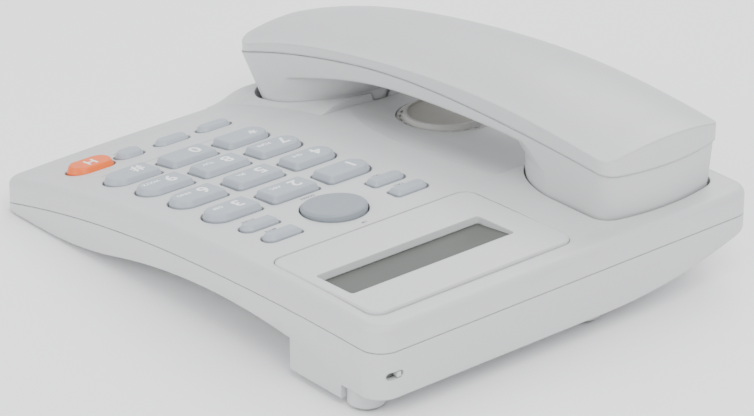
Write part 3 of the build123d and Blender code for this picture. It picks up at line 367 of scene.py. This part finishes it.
def finish_frame():
    """Gives every CAD node its material."""
    housing = moulded("housing_plastic", HOUSING)
    handset = moulded("handset_plastic", HOUSING, soft_edge=1.2 * MM)
    keys = moulded("key_plastic", KEY_GREY, 0.36, soft_edge=0.3 * MM)
    orange = moulded("orange_plastic", ORANGE, 0.33, soft_edge=0.4 * MM)
    jack = moulded("jack_plastic", (0.05, 0.05, 0.055), 0.3)
    paint_nodes(housing, "upper_housing", "lower_housing", "battery_door")
    paint_nodes(handset, "handset_upper_shell", "handset_lower_shell")
    paint_nodes(moulded("panel_plastic", PANEL, 0.36), "display_bezel")
    paint_nodes(keys, *DIGIT_KEYS, *SMALL_KEYS)
    paint_nodes(moulded("navigation_plastic", NAVIGATION_GREY, 0.36), "navigation_key")
    paint_nodes(orange, "key_speaker")
    disc_low, disc_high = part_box("speaker_cover")
    disc_middle = (disc_low + disc_high) / 2
    # the speaker cover's middle is painted darker, painted shade under the handset
    cover = disc_with_painted_shade("speaker_cover_painted_shade_plastic", disc_middle, COVER_SHADE_RADIUS, COVER_SHADED_MIDDLE, COVER_RIM)
    paint_nodes(cover, "speaker_cover")
    paint_nodes(moulded("hook_plastic", HOUSING, 0.35), "hook_button", "ringer_slider")
    paint_nodes(display_glass(), "display_lens", "lcd_module")
    paint_nodes(rubbery("foot_rubber", (0.30, 0.30, 0.29)), "rear_feet", "front_feet")
    paint_nodes(rubbery("silicone_rubber", (0.55, 0.55, 0.53)), "keypad_mat")
    paint_nodes(rubbery("black_parts", (0.02, 0.02, 0.022)), *BLACK_PARTS)
    paint_nodes(jack, "handset_jack", "line_jack", "handset_cord_jack")
    paint_nodes(moulded("ribbon_film", (0.5, 0.5, 0.48), 0.4), "ribbon_cables")
    paint_nodes(moulded("switch_plastic", (0.30, 0.30, 0.29), 0.4), "ringer_switch")
    paint_nodes(circuit_board(), "keypad_board", "main_board")
    paint_nodes(cell_wrap(), "batteries")
    paint_nodes(metal("plated_steel", (0.55, 0.55, 0.54), 0.3), *STEEL_PARTS)


# ------------------------------------------------------------------ printing
DECK_NORMAL = Vector((0, -0.12364, 0.99233))
DECK_ALONG = Vector((0, 0.99233, 0.12364))
INK_THICKNESS = 0.015 * MM
INK_LIFT = 0.02 * MM
CAPITAL_HEIGHT = 0.72
STROKE_GROWTH = 0.03
DIGIT_HEIGHT = 5.5 * MM
LETTER_HEIGHT = 1.7 * MM
MARK_HEIGHT = 4.4 * MM
LABEL_HEIGHT = 1.25 * MM
LABEL_GAP = 2.0 * MM
ROUND_LABEL_GAP = 2.2 * MM
LINE_GAP = 4.6 * MM
LINE_WIDTH = 0.22 * MM
LINE_STEPS = 12


def top_of(name):
    """The middle of a key's top face."""
    low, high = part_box(name)
    middle = (low + high) / 2
    top = max(vertex.co.dot(DECK_NORMAL) for vertex in nodes[name].data.vertices)
    return middle + DECK_NORMAL * (top - middle.dot(DECK_NORMAL))


def deck_point(x, y):
    """The point of the upper housing's top face above or below a place in plan."""
    above = Vector((x, y, cad_high.z + 10 * MM))
    hit, place, _, _ = nodes["upper_housing"].ray_cast(above, Vector((0, 0, -1)))
    return place if hit else Vector((x, y, 30 * MM))


def printed(name, words, centre, height, material, body):
    """Ink lettering that lies on a sloping face, centred on a point, its capitals as tall as height."""
    curve = bpy.data.curves.new(name, "FONT")
    curve.body = words
    curve.size = height / CAPITAL_HEIGHT
    curve.align_x = "CENTER"
    curve.align_y = "CENTER"
    curve.extrude = INK_THICKNESS
    curve.offset = STROKE_GROWTH * height
    curve.materials.append(material)
    letters = bpy.data.objects.new(name, curve)
    axes = Matrix((Vector((1, 0, 0)), DECK_ALONG, DECK_NORMAL)).transposed().to_4x4()
    letters.matrix_world = Matrix.Translation(centre + DECK_NORMAL * INK_LIFT) @ axes
    bpy.context.scene.collection.objects.link(letters)
    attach(letters, body)


def line_strip(name, points, width, material, body):
    """A thin printed line through points on the deck."""
    vertices = []
    for point in points:
        vertices.append(point + DECK_ALONG * width / 2 + DECK_NORMAL * INK_LIFT)
        vertices.append(point - DECK_ALONG * width / 2 + DECK_NORMAL * INK_LIFT)
    faces = [(2 * i, 2 * i + 1, 2 * i + 3, 2 * i + 2) for i in range(len(points) - 1)]
    mesh = bpy.data.meshes.new(name)
    mesh.from_pydata(vertices, [], faces)
    mesh.materials.append(material)
    strip = bpy.data.objects.new(name, mesh)
    bpy.context.scene.collection.objects.link(strip)
    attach(strip, body)


def add_legends():
    """Everything that is printed on the keys and on the housing beside them."""
    white = print_paint("white_ink", (0.92, 0.92, 0.92))
    grey = print_paint("grey_ink", (0.16, 0.17, 0.20))
    digit_shift = Vector((-3.6 * MM, 0, 0)) - DECK_ALONG * 0.6 * MM
    letters_shift = Vector((3.6 * MM, 0, 0)) - DECK_ALONG * 1.8 * MM
    for name, (digit, letters) in DIGIT_KEYS.items():
        place = top_of(name)
        printed(name + "_digit", digit, place + digit_shift, DIGIT_HEIGHT, white, name)
        if letters:
            printed(name + "_letters", letters, place + letters_shift, LETTER_HEIGHT, white, name)
    printed("speaker_key_mark", "H", top_of("key_speaker"), MARK_HEIGHT, white, "key_speaker")
    for name, word in SMALL_KEYS.items():
        low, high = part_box(name)
        spot = deck_point((low.x + high.x) / 2, low.y - LABEL_GAP)
        printed(name + "_label", word, spot, LABEL_HEIGHT, grey, "base")
    low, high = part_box("navigation_key")
    middle = (low.x + high.x) / 2
    down_spot = deck_point(middle, low.y - ROUND_LABEL_GAP)
    up_spot = deck_point(middle, high.y + ROUND_LABEL_GAP)
    printed("scroll_down_label", "DOWN", down_spot, LABEL_HEIGHT, grey, "base")
    printed("scroll_up_label", "UP", up_spot, LABEL_HEIGHT, grey, "base")
    # the hairline over the front row of keys
    star_low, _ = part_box("key_star")
    _, hash_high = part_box("key_hash")
    left = star_low.x
    span = hash_high.x - 6 * MM - left
    line_y = star_low.y - LINE_GAP
    points = [deck_point(left + span * step / LINE_STEPS, line_y) for step in range(LINE_STEPS + 1)]
    line_strip("front_row_line", points, LINE_WIDTH, grey, "base")


finish_frame()
add_legends()
add_camera()
add_studio()
